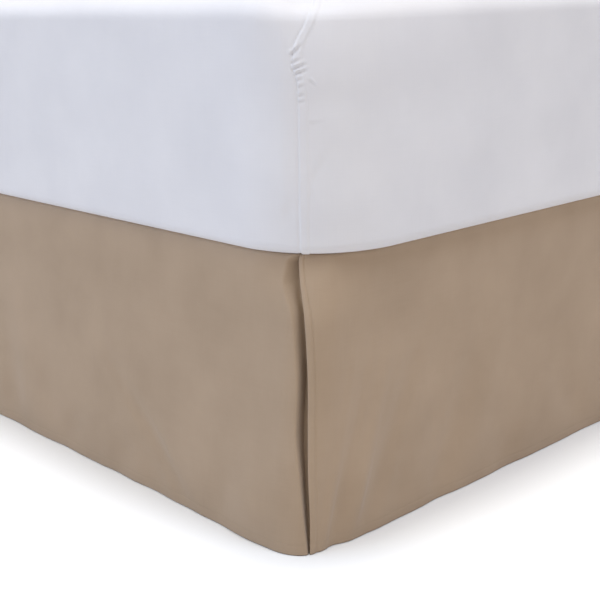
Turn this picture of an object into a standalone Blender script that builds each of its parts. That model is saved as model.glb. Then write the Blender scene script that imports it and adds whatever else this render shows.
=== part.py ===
"""A queen bed dressed with a tailored bed skirt, in metres, +Z up.

The bed stands on the floor at z = 0, its head towards +Y and its foot towards -Y.
A box foundation on six legs carries the skirt's deck, a flat cloth that the mattress
lies on. Three drop panels hang from the deck's edge: one across the foot and one down
each side. They are split at the two foot corners, where the foot panel turns in behind
the hemmed edge of the side panel. The mattress wears a fitted sheet.
"""

import math
from collections import namedtuple

import bmesh
import bpy

for leftover in list(bpy.data.objects):
    bpy.data.objects.remove(leftover, do_unlink=True)

GAP = 0.0003  # between pieces that lie on each other
CORNER_STEPS = 10

# Skirt: 15 in drop, cut from one cloth
DROP = 0.381
HEM_HEIGHT = 0.001
CLOTH = 0.0016
HEM_LAYERS = 1.6  # thickness of a turned hem in layers of cloth
SIDE_HEM = 0.009
PANEL_TOP = HEM_HEIGHT + DROP
DECK_THICKNESS = 0.0015
DECK_HEAD_RADIUS = 0.012
SKIRT_HEAD_Y = 1.000
TOP_SIDE_X = 0.742
TOP_FOOT_Y = -1.002
TOP_RADIUS = 0.049
DECK_FOOT_RADIUS = 0.107
HEM_SIDE_X = 0.7375
HEM_FOOT_Y = -1.028
HEM_RADIUS = 0.058

# Foundation and legs
FOUNDATION_X = 0.7305
FOUNDATION_FOOT_Y = -0.9965
FOUNDATION_HEAD_Y = 1.0035
FOUNDATION_FOOT_RADIUS = 0.125
FOUNDATION_HEAD_RADIUS = 0.030
FOUNDATION_TOP = PANEL_TOP
LEG_HEIGHT = 0.150
LEG_TOP_RADIUS = 0.030
LEG_FOOT_RADIUS = 0.021
LEG_INSET = 0.095

# Mattress, queen size, in a fitted sheet
MATTRESS_X = 0.762
MATTRESS_Y = 1.016
MATTRESS_TOP = 0.691
CORNER_RADIUS = 0.142
BOTTOM_EDGE = 0.016
TOP_EDGE = 0.028
CROWN = 0.004
CROWN_INSET = 0.135
EDGE_STEPS = 4
SHEET = 0.0015
SHEET_UNDER = 0.130  # how far the sheet is turned in under the mattress

DECK_BOTTOM = PANEL_TOP + GAP
DECK_TOP = DECK_BOTTOM + DECK_THICKNESS
SHEET_BOTTOM = DECK_TOP + GAP

SKIRT_COLOUR = (0.375, 0.292, 0.215)
SHEET_COLOUR = (0.78, 0.78, 0.80)
TICKING_COLOUR = (0.62, 0.60, 0.57)
LEG_COLOUR = (0.030, 0.022, 0.016)

# One row for each height of a split corner, top first. The angles run round the corner
# from the foot, 0, to the side, 90: where the side panel's edge hangs, where the foot
# panel turns in, how far in it goes, and how wide the turn is.
Split = namedtuple("Split", "height edge_angle turn_angle depth turn_width")
SPLITS = (
    Split(height=0.382, edge_angle=7.4, turn_angle=-2.1, depth=0.0032, turn_width=0.005),
    Split(height=0.379, edge_angle=7.4, turn_angle=-2.1, depth=0.0032, turn_width=0.005),
    Split(height=0.372, edge_angle=8.4, turn_angle=-13.0, depth=0.0175, turn_width=0.013),
    Split(height=0.352, edge_angle=16.4, turn_angle=-14.5, depth=0.0165, turn_width=0.014),
    Split(height=0.333, edge_angle=26.5, turn_angle=-4.5, depth=0.0155, turn_width=0.014),
    Split(height=0.314, edge_angle=33.0, turn_angle=11.5, depth=0.0150, turn_width=0.014),
    Split(height=0.268, edge_angle=39.1, turn_angle=21.0, depth=0.0165, turn_width=0.013),
    Split(height=0.225, edge_angle=42.5, turn_angle=26.3, depth=0.0190, turn_width=0.011),
    Split(height=0.165, edge_angle=45.0, turn_angle=27.6, depth=0.0190, turn_width=0.009),
    Split(height=0.108, edge_angle=47.6, turn_angle=35.0, depth=0.0165, turn_width=0.008),
    Split(height=0.043, edge_angle=52.6, turn_angle=43.7, depth=0.0110, turn_width=0.006),
    Split(height=0.008, edge_angle=53.9, turn_angle=49.0, depth=0.0066, turn_width=0.005),
    Split(height=0.001, edge_angle=54.1, turn_angle=50.1, depth=0.0064, turn_width=0.005),
)

# Low down, both panels of a corner are drawn in together on the side's half of it. The
# place is the distance from the corner's middle. High up they are drawn in right round
# the corner, to the deck's rounder corner.
DRAW_PLACE = 0.042
DRAW_HALF_WIDTH = 0.050
DRAW_DEPTH = 0.0095
DRAW_TOP = 0.220
TUCK_HALF_WIDTH = 0.104
TUCK_DEPTH = 0.024
TUCK_START = 0.300

# One row for each fold of a panel. `place` is its distance from the middle of the corner
# at the hem, `lean` is how far it moves for each metre of height, `rise` is out (+) or
# in (-), and it has died away at the height `top`. The doubled hem holds it to a share.
Fold = namedtuple("Fold", "place lean half_width rise top")
HEM_SHARE = 0.30
HEM_HOLDS = 0.060
RIGHT_FOLDS = (
    Fold(place=0.018, lean=0.08, half_width=0.010, rise=-0.0010, top=0.34),
    Fold(place=0.028, lean=0.15, half_width=0.012, rise=0.0030, top=0.34),
    Fold(place=0.044, lean=0.19, half_width=0.014, rise=-0.0034, top=0.34),
    Fold(place=0.066, lean=0.27, half_width=0.020, rise=0.0048, top=0.34),
    Fold(place=0.095, lean=0.38, half_width=0.032, rise=-0.0060, top=0.34),
    Fold(place=0.230, lean=0.00, half_width=0.150, rise=-0.0080, top=0.30),
    Fold(place=0.200, lean=0.00, half_width=0.045, rise=0.0034, top=0.26),
    Fold(place=0.245, lean=0.30, half_width=0.036, rise=-0.0046, top=0.30),
    Fold(place=0.300, lean=0.32, half_width=0.040, rise=0.0028, top=0.30),
    Fold(place=0.403, lean=-0.20, half_width=0.060, rise=-0.0080, top=0.12),
    Fold(place=0.600, lean=-0.59, half_width=0.060, rise=-0.0050, top=0.20),
    Fold(place=0.860, lean=0.10, half_width=0.120, rise=0.0070, top=0.34),
    Fold(place=1.220, lean=-0.20, half_width=0.110, rise=-0.0070, top=0.32),
    Fold(place=1.560, lean=0.20, half_width=0.130, rise=0.0064, top=0.34),
    Fold(place=1.860, lean=0.10, half_width=0.060, rise=0.0046, top=0.30),
)
LEFT_FOLDS = (
    Fold(place=0.030, lean=0.12, half_width=0.011, rise=-0.0018, top=0.30),
    Fold(place=0.058, lean=0.18, half_width=0.014, rise=0.0030, top=0.28),
    Fold(place=0.098, lean=0.28, half_width=0.024, rise=-0.0042, top=0.33),
    Fold(place=0.190, lean=0.20, half_width=0.045, rise=0.0042, top=0.30),
    Fold(place=0.430, lean=0.40, half_width=0.080, rise=-0.0070, top=0.34),
    Fold(place=0.760, lean=-0.20, half_width=0.110, rise=0.0070, top=0.34),
    Fold(place=1.130, lean=0.25, half_width=0.100, rise=-0.0066, top=0.32),
    Fold(place=1.500, lean=-0.10, half_width=0.120, rise=0.0070, top=0.34),
    Fold(place=1.800, lean=0.10, half_width=0.070, rise=-0.0046, top=0.30),
)
FOOT_RIGHT_FOLDS = (
    Fold(place=0.095, lean=-0.25, half_width=0.065, rise=0.0110, top=0.15),
    Fold(place=0.200, lean=-0.10, half_width=0.060, rise=0.0040, top=0.12),
    Fold(place=0.300, lean=0.18, half_width=0.055, rise=-0.0075, top=0.15),
    Fold(place=0.215, lean=1.12, half_width=0.034, rise=-0.0050, top=0.24),
    Fold(place=0.395, lean=-0.55, half_width=0.050, rise=-0.0060, top=0.10),
    Fold(place=0.540, lean=-0.50, half_width=0.045, rise=-0.0060, top=0.10),
    Fold(place=0.620, lean=0.30, half_width=0.070, rise=0.0040, top=0.30),
    Fold(place=0.700, lean=0.10, half_width=0.050, rise=-0.0050, top=0.24),
)
FOOT_LEFT_FOLDS = (
    Fold(place=0.086, lean=-0.15, half_width=0.045, rise=0.0090, top=0.18),
    Fold(place=0.200, lean=0.30, half_width=0.060, rise=-0.0056, top=0.28),
    Fold(place=0.360, lean=0.20, half_width=0.080, rise=0.0060, top=0.30),
    Fold(place=0.580, lean=-0.30, half_width=0.090, rise=-0.0060, top=0.32),
)

# Rows of a panel as shares of the drop, and its columns: fine near the split corners,
# wider along the plain lengths.
PANEL_ROWS = (0.0, 0.0080, 0.026, 0.14, 0.30, 0.50, 0.70, 0.86, 0.96, 1.0)
FINE_REACH = 0.150
MIDDLE_REACH = 0.700
FOOT_LONG_COLUMNS = 13
FOOT_FINE_COLUMNS = 16
TURN_COLUMNS = 4
WRAP_COLUMNS = 6
WRAP_ANGLE = 92
WRAP_DEPTH = 0.0042
SIDE_LONG_COLUMNS = 18
SIDE_MIDDLE_COLUMNS = 18
SIDE_FINE_COLUMNS = 22

ARC_START = TOP_SIDE_X - TOP_RADIUS
ARC_LENGTH = math.pi / 4 * (TOP_RADIUS + HEM_RADIUS)
ARC_MIDDLE = ARC_START + ARC_LENGTH / 2
ARC_END = ARC_START + ARC_LENGTH
PATH_END = ARC_END + SKIRT_HEAD_Y - (TOP_FOOT_Y + TOP_RADIUS)


def mix(low, high, share):
    return low + (high - low) * share


def ease(share):
    share = min(max(share, 0.0), 1.0)
    return share * share * (3 - 2 * share)


def material(name, colour, roughness):
    made = bpy.data.materials.new(name)
    made.use_nodes = True
    shader = made.node_tree.nodes["Principled BSDF"]
    shader.inputs["Base Color"].default_value = (*colour, 1.0)
    shader.inputs["Roughness"].default_value = roughness
    shader.inputs["Metallic"].default_value = 0.0
    return made


def add_object(name, bm, surface):
    """The bmesh as a named, smooth-shaded object with one material."""
    bmesh.ops.recalc_face_normals(bm, faces=bm.faces)
    mesh = bpy.data.meshes.new(name)
    bm.to_mesh(mesh)
    bm.free()
    mesh.materials.append(surface)
    mesh.shade_smooth()
    mesh.set_sharp_from_angle(angle=math.radians(40))
    piece = bpy.data.objects.new(name, mesh)
    bpy.context.scene.collection.objects.link(piece)
    return piece


def rounded_outline(low, high, foot_radius, head_radius, z):
    """Points round a rectangle with round corners, anticlockwise seen from above."""
    corners = (
        (low[0] + foot_radius, low[1] + foot_radius, foot_radius, 180),
        (high[0] - foot_radius, low[1] + foot_radius, foot_radius, 270),
        (high[0] - head_radius, high[1] - head_radius, head_radius, 0),
        (low[0] + head_radius, high[1] - head_radius, head_radius, 90),
    )
    points = []
    for x, y, radius, start in corners:
        for step in range(CORNER_STEPS + 1):
            angle = math.radians(start + 90 * step / CORNER_STEPS)
            points.append((x + radius * math.cos(angle), y + radius * math.sin(angle), z))
    return points


def loft(bm, rings):
    """Skins a list of equal closed rings and returns their vertices."""
    made = [[bm.verts.new(point) for point in ring] for ring in rings]
    for lower, upper in zip(made, made[1:]):
        for index, vertex in enumerate(lower):
            after = (index + 1) % len(lower)
            bm.faces.new((vertex, lower[after], upper[after], upper[index]))
    return made


# ---- Foundation and its six legs ----

TICKING = material("ticking", TICKING_COLOUR, 0.85)
LEG_FINISH = material("leg_finish", LEG_COLOUR, 0.45)


def build_foundation():
    """The box foundation: a covered frame with softly rounded top and bottom edges."""
    edge = 0.010
    profile = [(LEG_HEIGHT + GAP, edge)]
    for step in range(1, 4):
        angle = math.radians(90 * step / 3)
        profile.append((LEG_HEIGHT + GAP + edge * (1 - math.cos(angle)), edge * (1 - math.sin(angle))))
    top = FOUNDATION_TOP
    for step in range(4):
        angle = math.radians(90 * step / 3)
        profile.append((top - edge * (1 - math.sin(angle)), edge * (1 - math.cos(angle))))
    rings = []
    for z, inset in profile:
        low = (-FOUNDATION_X + inset, FOUNDATION_FOOT_Y + inset)
        high = (FOUNDATION_X - inset, FOUNDATION_HEAD_Y - inset)
        radii = (FOUNDATION_FOOT_RADIUS - inset, FOUNDATION_HEAD_RADIUS - inset)
        rings.append(rounded_outline(low, high, *radii, z))
    bm = bmesh.new()
    made = loft(bm, rings)
    bm.faces.new(list(reversed(made[0])))
    bm.faces.new(made[-1])
    return add_object("foundation", bm, TICKING)


def build_leg(name, x, y):
    """A turned leg, tapered to its flat foot, with a small round at each end."""
    bm = bmesh.new()
    bmesh.ops.create_cone(
        bm,
        cap_ends=True,
        segments=28,
        radius1=LEG_FOOT_RADIUS,
        radius2=LEG_TOP_RADIUS,
        depth=LEG_HEIGHT,
    )
    rims = [edge for edge in bm.edges if abs(edge.verts[0].co.z - edge.verts[1].co.z) < 1e-5]
    bmesh.ops.bevel(bm, geom=rims, offset=0.002, segments=2, profile=0.5, affect="EDGES")
    leg = add_object(name, bm, LEG_FINISH)
    leg.location = (x, y, LEG_HEIGHT / 2)
    return leg


def build_legs():
    leg_x = FOUNDATION_X - LEG_INSET
    rows = (
        ("foot", FOUNDATION_FOOT_Y + LEG_INSET),
        ("middle", (FOUNDATION_FOOT_Y + FOUNDATION_HEAD_Y) / 2),
        ("head", FOUNDATION_HEAD_Y - LEG_INSET),
    )
    for place, y in rows:
        build_leg(f"leg_{place}_left", -leg_x, y)
        build_leg(f"leg_{place}_right", leg_x, y)


# ---- Bed skirt: deck and three drop panels ----

SKIRT_CLOTH = material("skirt_cloth", SKIRT_COLOUR, 0.9)
DECK_CLOTH = material("deck_cloth", SKIRT_COLOUR, 0.95)


def build_deck():
    """The flat platform cloth between foundation and mattress, as wide as the panels' tops."""
    low = (-TOP_SIDE_X, TOP_FOOT_Y)
    high = (TOP_SIDE_X, SKIRT_HEAD_Y)
    bm = bmesh.new()
    outline = rounded_outline(low, high, DECK_FOOT_RADIUS, DECK_HEAD_RADIUS, DECK_BOTTOM)
    face = bm.faces.new([bm.verts.new(point) for point in outline])
    raised = bmesh.ops.extrude_face_region(bm, geom=[face])["geom"]
    lifted = [item for item in raised if isinstance(item, bmesh.types.BMVert)]
    bmesh.ops.translate(bm, verts=lifted, vec=(0, 0, DECK_THICKNESS))
    return add_object("skirt_deck", bm, DECK_CLOTH)


def split_at(height):
    """The split corner's row at any height, eased between the rows of the table."""
    if height >= SPLITS[0].height:
        return SPLITS[0]
    for upper, lower in zip(SPLITS, SPLITS[1:]):
        if height >= lower.height - 1e-9:
            share = (upper.height - height) / (upper.height - lower.height)
            return Split(*(mix(high, low, share) for high, low in zip(upper, lower)))
    return SPLITS[-1]


def skirt_point(along, height, out):
    """A point of the skirt's right half, and the way out of its face there.

    `along` runs from the middle of the foot, round the corner, to the head end.
    """
    drop = (PANEL_TOP - height) / DROP
    side_x = mix(TOP_SIDE_X, HEM_SIDE_X, drop)
    foot_y = mix(TOP_FOOT_Y, HEM_FOOT_Y, drop)
    radius = mix(TOP_RADIUS, HEM_RADIUS, drop)
    centre_x = side_x - radius
    centre_y = foot_y + radius
    if along <= ARC_START:
        return centre_x * along / ARC_START, foot_y - out, height
    if along >= ARC_END:
        share = (along - ARC_END) / (PATH_END - ARC_END)
        return side_x + out, mix(centre_y, SKIRT_HEAD_Y, share), height
    angle = math.pi / 2 * (along - ARC_START) / ARC_LENGTH
    reach = radius + out
    return centre_x + reach * math.sin(angle), centre_y - reach * math.cos(angle), height


def swell(off):
    """1 where `off` is 0, falling softly to 0 where it is 1 or more either way."""
    return (1 + math.cos(math.pi * min(abs(off), 1))) / 2


def relief(folds, place, height):
    """How far the folds push the cloth out at a distance from the corner."""
    total = 0.0
    for fold in folds:
        off = (place - fold.place - fold.lean * height) / fold.half_width
        total += fold.rise * (1 - ease(height / fold.top)) * swell(off)
    return total * mix(HEM_SHARE, 1.0, ease(height / HEM_HOLDS))


def corner_draw(along, height):
    """How far both panels are drawn in round the corner."""
    place = along - ARC_MIDDLE
    low = DRAW_DEPTH * (1 - ease(height / DRAW_TOP)) * swell((place - DRAW_PLACE) / DRAW_HALF_WIDTH)
    high = TUCK_DEPTH * ease((height - TUCK_START) / (PANEL_TOP - TUCK_START))
    return low + high * swell(place / TUCK_HALF_WIDTH)


def spaced(start, end, count):
    """`count` evenly spaced values from start to end, without the start."""
    return [mix(start, end, number / count) for number in range(1, count + 1)]


def along_of(angle):
    return ARC_START + ARC_LENGTH * angle / 90


def foot_columns(height):
    """Columns of the foot panel's right half at a height: (along, how far it is turned in)."""
    row = split_at(height)
    turn = along_of(row.turn_angle)
    turned = turn + row.turn_width
    near = ARC_START - FINE_REACH
    columns = [(value, 0.0) for value in spaced(0.0, near, FOOT_LONG_COLUMNS)]
    columns += [(value, 0.0) for value in spaced(near, turn, FOOT_FINE_COLUMNS)]
    for step, value in enumerate(spaced(turn, turned, TURN_COLUMNS), 1):
        columns.append((value, row.depth * ease(step / TURN_COLUMNS)))
    for step, value in enumerate(spaced(turned, along_of(WRAP_ANGLE), WRAP_COLUMNS), 1):
        columns.append((value, mix(row.depth, WRAP_DEPTH, ease(step / WRAP_COLUMNS))))
    return columns


def side_columns(height):
    """Columns of a side panel at a height, from its head end to its hemmed front edge."""
    edge = along_of(split_at(height).edge_angle)
    far = ARC_END + MIDDLE_REACH
    near = ARC_END + FINE_REACH
    columns = [PATH_END, PATH_END - SIDE_HEM]
    columns += spaced(PATH_END - SIDE_HEM, far, SIDE_LONG_COLUMNS)
    columns += spaced(far, near, SIDE_MIDDLE_COLUMNS)
    columns += spaced(near, edge + SIDE_HEM, SIDE_FINE_COLUMNS)
    columns += spaced(edge + SIDE_HEM, edge, 1)
    return columns


def panel_object(name, grid, hem_columns):
    """A panel from its grid of outer-face points, thickened inwards, its upright hems thicker."""
    bm = bmesh.new()
    made = [[bm.verts.new(point) for point in row] for row in grid]
    for upper, lower in zip(made, made[1:]):
        for index in range(len(upper) - 1):
            bm.faces.new((upper[index], lower[index], lower[index + 1], upper[index + 1]))
    bm.verts.index_update()
    hem = [row[column].index for row in made for column in hem_columns]
    plain = [vertex.index for vertex in bm.verts if vertex.index not in set(hem)]
    panel = add_object(name, bm, SKIRT_CLOTH)
    weights = panel.vertex_groups.new(name="cloth_layers")
    weights.add(hem, 1.0, "REPLACE")
    weights.add(plain, 1 / HEM_LAYERS, "REPLACE")
    solidify = panel.modifiers.new("cloth thickness", "SOLIDIFY")
    solidify.thickness = CLOTH * HEM_LAYERS
    solidify.vertex_group = weights.name
    solidify.offset = -1
    solidify.use_even_offset = True
    return panel


def build_foot_panel():
    """One cloth across the foot, its two ends turned in at the corners behind the side panels."""
    grid = []
    for share in PANEL_ROWS:
        height = PANEL_TOP - DROP * share
        left = []
        right = []
        for along, inward in foot_columns(height):
            place = ARC_MIDDLE - along
            for folds, half, mirror in ((FOOT_LEFT_FOLDS, left, -1), (FOOT_RIGHT_FOLDS, right, 1)):
                out = relief(folds, place, height) if place > 0 else 0.0
                out -= inward + corner_draw(along, height)
                x, y, z = skirt_point(along, height, out)
                half.append((mirror * x, y, z))
        grid.append([*reversed(left), skirt_point(0.0, height, 0.0), *right])
    return panel_object("skirt_foot_panel", grid, (0, -1))


def build_side_panel(name, folds, mirror):
    """One cloth along a side, from the head end round to its hemmed edge at the split corner."""
    grid = []
    for share in PANEL_ROWS:
        height = PANEL_TOP - DROP * share
        row = []
        for along in side_columns(height):
            out = relief(folds, along - ARC_MIDDLE, height) - corner_draw(along, height)
            x, y, z = skirt_point(along, height, out)
            row.append((mirror * x, y, z))
        grid.append(row if mirror < 0 else row[::-1])
    return panel_object(name, grid, (0, 1, -2, -1))


# ---- Mattress and its fitted sheet ----

SHEET_CLOTH = material("sheet_cloth", SHEET_COLOUR, 0.85)
MATTRESS_COVER = material("mattress_cover", TICKING_COLOUR, 0.9)


def mattress_rings(skin, under):
    """Rings round the mattress, from `under` inside its bottom edge to its crown.

    `skin` is how far the surface lies inside the sheet's outer face.
    """
    bottom = SHEET_BOTTOM + skin
    lower = BOTTOM_EDGE - skin
    upper = TOP_EDGE - skin
    shoulder = MATTRESS_TOP - CROWN - skin
    profile = [(bottom, under)]
    for step in range(EDGE_STEPS + 1):
        angle = math.pi / 2 * step / EDGE_STEPS
        profile.append((bottom + lower * (1 - math.cos(angle)), skin + lower * (1 - math.sin(angle))))
    for step in range(EDGE_STEPS + 1):
        angle = math.pi / 2 * step / EDGE_STEPS
        profile.append((shoulder - upper * (1 - math.sin(angle)), skin + upper * (1 - math.cos(angle))))
    profile.append((MATTRESS_TOP - skin, CROWN_INSET))
    rings = []
    for z, inset in profile:
        low = (-MATTRESS_X + inset, -MATTRESS_Y + inset)
        high = (MATTRESS_X - inset, MATTRESS_Y - inset)
        radius = CORNER_RADIUS - inset
        rings.append(rounded_outline(low, high, radius, radius, z))
    return rings


def build_mattress():
    """The plain mattress, filling the sheet."""
    bm = bmesh.new()
    made = loft(bm, mattress_rings(SHEET + GAP, CROWN_INSET))
    bm.faces.new(made[0])
    bm.faces.new(made[-1])
    return add_object("mattress", bm, MATTRESS_COVER)


def build_fitted_sheet():
    """The sheet: over the top, down the sides and turned in under the bottom edge."""
    outer = mattress_rings(0.0, SHEET_UNDER)
    inner = mattress_rings(SHEET, SHEET_UNDER)
    bm = bmesh.new()
    made = loft(bm, [*reversed(outer), *inner])
    bm.faces.new(made[0])
    bm.faces.new(made[-1])
    return add_object("fitted_sheet", bm, SHEET_CLOTH)


build_foundation()
build_legs()
build_deck()
build_foot_panel()
build_side_panel("skirt_left_panel", LEFT_FOLDS, -1)
build_side_panel("skirt_right_panel", RIGHT_FOLDS, 1)
build_mattress()
build_fitted_sheet()
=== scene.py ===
"""A queen bed with a tailored bed skirt: its finishes and fine cloth, around the fixed frame."""

import functools
import math
from collections import namedtuple

import bpy
import numpy as np
from mathutils import Matrix, Vector


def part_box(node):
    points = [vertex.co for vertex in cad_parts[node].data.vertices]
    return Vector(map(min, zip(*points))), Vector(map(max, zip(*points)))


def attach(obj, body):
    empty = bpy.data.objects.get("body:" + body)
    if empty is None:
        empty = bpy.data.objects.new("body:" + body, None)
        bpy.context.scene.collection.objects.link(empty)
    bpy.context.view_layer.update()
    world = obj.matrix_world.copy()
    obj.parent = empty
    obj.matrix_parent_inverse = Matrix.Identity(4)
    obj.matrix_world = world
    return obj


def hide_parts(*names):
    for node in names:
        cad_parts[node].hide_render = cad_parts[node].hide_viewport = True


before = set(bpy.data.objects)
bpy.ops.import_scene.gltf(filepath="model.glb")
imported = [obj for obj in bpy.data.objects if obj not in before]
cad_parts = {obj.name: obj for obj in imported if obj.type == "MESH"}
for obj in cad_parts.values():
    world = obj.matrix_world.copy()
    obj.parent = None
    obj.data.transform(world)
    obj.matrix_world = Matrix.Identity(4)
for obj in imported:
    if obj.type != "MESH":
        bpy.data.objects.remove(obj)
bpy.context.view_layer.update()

# ---- Camera ----
# It stands off the bed's right foot corner, just above the mattress, and looks down at
# the split corner of the skirt, leaning a little to one side.

CAMERA_PLACE = Vector((1.658, -1.882, 0.685))
CAMERA_YAW = math.radians(46.95)
CAMERA_PITCH = math.radians(15.23)
CAMERA_ROLL = math.radians(-1.25)
CAMERA_SENSOR = 36.0
CAMERA_LENS = 67.0

ahead = Vector((-math.sin(CAMERA_YAW), math.cos(CAMERA_YAW), -math.tan(CAMERA_PITCH))).normalized()
level_right = Vector((math.cos(CAMERA_YAW), math.sin(CAMERA_YAW), 0.0))
level_up = level_right.cross(ahead)
camera_right = level_right * math.cos(CAMERA_ROLL) + level_up * math.sin(CAMERA_ROLL)
camera_up = level_up * math.cos(CAMERA_ROLL) - level_right * math.sin(CAMERA_ROLL)
camera_data = bpy.data.cameras.new("camera")
camera_data.sensor_fit = "HORIZONTAL"
camera_data.sensor_width = CAMERA_SENSOR
camera_data.lens = CAMERA_LENS
camera_data.clip_end = 60.0
camera = bpy.data.objects.new("camera", camera_data)
camera_turn = Matrix((camera_right, camera_up, -ahead)).transposed().to_4x4()
camera.matrix_world = Matrix.Translation(CAMERA_PLACE) @ camera_turn
bpy.context.scene.collection.objects.link(camera)
bpy.context.scene.camera = camera

# ---- Foundation ----
# A wooden box frame in a stapled cover of plain ticking, with a welt cord sewn into its
# top and bottom edges. Its solid stays and gets the ticking; the cords are added.

TICKING_DARK = (0.47, 0.45, 0.41)
TICKING_LIGHT = (0.60, 0.58, 0.54)
TICKING_THREADS = 1100  # per metre, as for every cloth below
FOUNDATION_EDGE = 0.010  # the solid's rounded edges
FOUNDATION_FOOT_RADIUS = 0.125
FOUNDATION_HEAD_RADIUS = 0.030
WELT_RADIUS = 0.0028
WELT_SUNK = 0.0010
WELT_SIDES = 10

# A thread runs thick and thin along itself, and the dyed cloth has soft patches.
SLUB_RUNS = ((700.0, 22.0, 1.0), (22.0, 700.0, 1.0))
SLUB_DETAIL = 2.0
SLUB_SHARE = 0.25
PATCHES_PER_METRE = 9.0
PATCH_DETAIL = 3.0
TONE_REACH = (0.32, 0.68)
WEAVE_STRENGTH = 0.4
CLOTH_SPECULAR = 0.25
SHEEN_ROUGHNESS = 0.5


def add_node(tree, kind, **settings):
    """A new node with its settings."""
    node = tree.nodes.new(kind)
    for name, value in settings.items():
        setattr(node, name, value)
    return node


def maths(tree, operation, *values):
    """A Math node fed by numbers or by other nodes' outputs."""
    node = add_node(tree, "ShaderNodeMath", operation=operation)
    for socket, value in zip(node.inputs, values):
        if isinstance(value, (int, float)):
            socket.default_value = value
        else:
            tree.links.new(value, socket)
    return node.outputs[0]


def noise(tree, place, scale, detail):
    """A Noise node laid on a place."""
    node = add_node(tree, "ShaderNodeTexNoise")
    node.inputs["Scale"].default_value = scale
    node.inputs["Detail"].default_value = detail
    tree.links.new(place, node.inputs["Vector"])
    return node


def drawn_out(tree, place, stretch):
    """A place scaled along each axis, so that what is laid on it runs long one way."""
    node = add_node(tree, "ShaderNodeVectorMath", operation="MULTIPLY")
    node.inputs[1].default_value = stretch
    tree.links.new(place, node.inputs[0])
    return node.outputs[0]


def between(tree, value, **reach):
    """A Map Range node's result; its ends are given by their names."""
    node = add_node(tree, "ShaderNodeMapRange")
    for name, end in reach.items():
        node.inputs[name.replace("_", " ").title()].default_value = end
    tree.links.new(value, node.inputs["Value"])
    return node.outputs["Result"]


def tint(tree, share, first, second, shader):
    """Colours a shader between two colours by a share."""
    mixed = add_node(tree, "ShaderNodeMix", data_type="RGBA")
    mixed.inputs[6].default_value = (*first, 1)
    mixed.inputs[7].default_value = (*second, 1)
    tree.links.new(share, mixed.inputs["Factor"])
    tree.links.new(mixed.outputs[2], shader.inputs["Base Color"])


def emboss(tree, height, strength, depth, shader):
    """Gives a shader a relief, from 0 to 1 of a depth in metres."""
    bump = add_node(tree, "ShaderNodeBump")
    bump.inputs["Strength"].default_value = strength
    bump.inputs["Distance"].default_value = depth
    tree.links.new(height, bump.inputs["Height"])
    tree.links.new(bump.outputs["Normal"], shader.inputs["Normal"])


def new_material(name):
    """A material, its node tree and its shader."""
    made = bpy.data.materials.new(name)
    made.use_nodes = True
    return made, made.node_tree, made.node_tree.nodes["Principled BSDF"]


def plain_weave_group():
    """Plain weave in the cloth's own metres: the threads' height, and their tone with soft patches."""
    group = bpy.data.node_groups.new("plain_weave", "ShaderNodeTree")
    sockets = group.interface
    sockets.new_socket("Cloth place", in_out="INPUT", socket_type="NodeSocketVector")
    sockets.new_socket("Solid place", in_out="INPUT", socket_type="NodeSocketVector")
    sockets.new_socket("Threads per metre", in_out="INPUT", socket_type="NodeSocketFloat")
    sockets.new_socket("Height", in_out="OUTPUT", socket_type="NodeSocketFloat")
    sockets.new_socket("Tone", in_out="OUTPUT", socket_type="NodeSocketFloat")
    source = add_node(group, "NodeGroupInput")
    result = add_node(group, "NodeGroupOutput")
    parts = add_node(group, "ShaderNodeSeparateXYZ")
    group.links.new(source.outputs["Cloth place"], parts.inputs[0])
    turns = maths(group, "MULTIPLY", source.outputs["Threads per metre"], math.pi)
    warp = maths(group, "SINE", maths(group, "MULTIPLY", parts.outputs["X"], turns))
    weft = maths(group, "SINE", maths(group, "MULTIPLY", parts.outputs["Y"], turns))
    crossing = maths(group, "MULTIPLY", warp, weft)
    runs = [drawn_out(group, source.outputs["Cloth place"], stretch) for stretch in SLUB_RUNS]
    tones = [noise(group, run, 1.0, SLUB_DETAIL).outputs["Fac"] for run in runs]
    slubs = maths(group, "MULTIPLY", maths(group, "ADD", *tones), 0.5)
    height = maths(group, "ADD", maths(group, "MULTIPLY", crossing, 0.5), slubs)
    patches = noise(group, source.outputs["Solid place"], PATCHES_PER_METRE, PATCH_DETAIL).outputs["Fac"]
    thread_share = maths(group, "MULTIPLY", slubs, SLUB_SHARE)
    patch_share = maths(group, "MULTIPLY", patches, 1 - SLUB_SHARE)
    tone = maths(group, "ADD", thread_share, patch_share)
    tone = between(group, tone, from_min=TONE_REACH[0], from_max=TONE_REACH[1])
    group.links.new(height, result.inputs["Height"])
    group.links.new(tone, result.inputs["Tone"])
    return group


PLAIN_WEAVE = plain_weave_group()


def woven_material(name, dark, light, threads, depth, roughness, sheen, place="cloth"):
    """Woven cloth: the weave colours it between a dark and a light, and embosses it.

    `place` says where the threads run: along the "cloth" itself, or through the "solid".
    """
    made, tree, shader = new_material(name)
    shader.inputs["Roughness"].default_value = roughness
    shader.inputs["Specular IOR Level"].default_value = CLOTH_SPECULAR
    shader.inputs["Sheen Weight"].default_value = sheen
    shader.inputs["Sheen Roughness"].default_value = SHEEN_ROUGHNESS
    solid_place = add_node(tree, "ShaderNodeTexCoord").outputs["Object"]
    cloth_place = solid_place
    if place == "cloth":
        cloth_place = add_node(tree, "ShaderNodeAttribute", attribute_name="cloth").outputs["Vector"]
    weave = add_node(tree, "ShaderNodeGroup", node_tree=PLAIN_WEAVE)
    weave.inputs["Threads per metre"].default_value = threads
    tree.links.new(cloth_place, weave.inputs["Cloth place"])
    tree.links.new(solid_place, weave.inputs["Solid place"])
    tint(tree, weave.outputs["Tone"], dark, light, shader)
    emboss(tree, weave.outputs["Height"], WEAVE_STRENGTH, depth, shader)
    return made


TICKING = woven_material(
    "ticking",
    TICKING_DARK,
    TICKING_LIGHT,
    TICKING_THREADS,
    depth=0.0004,
    roughness=0.88,
    sheen=0.1,
    place="solid",
)


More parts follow.
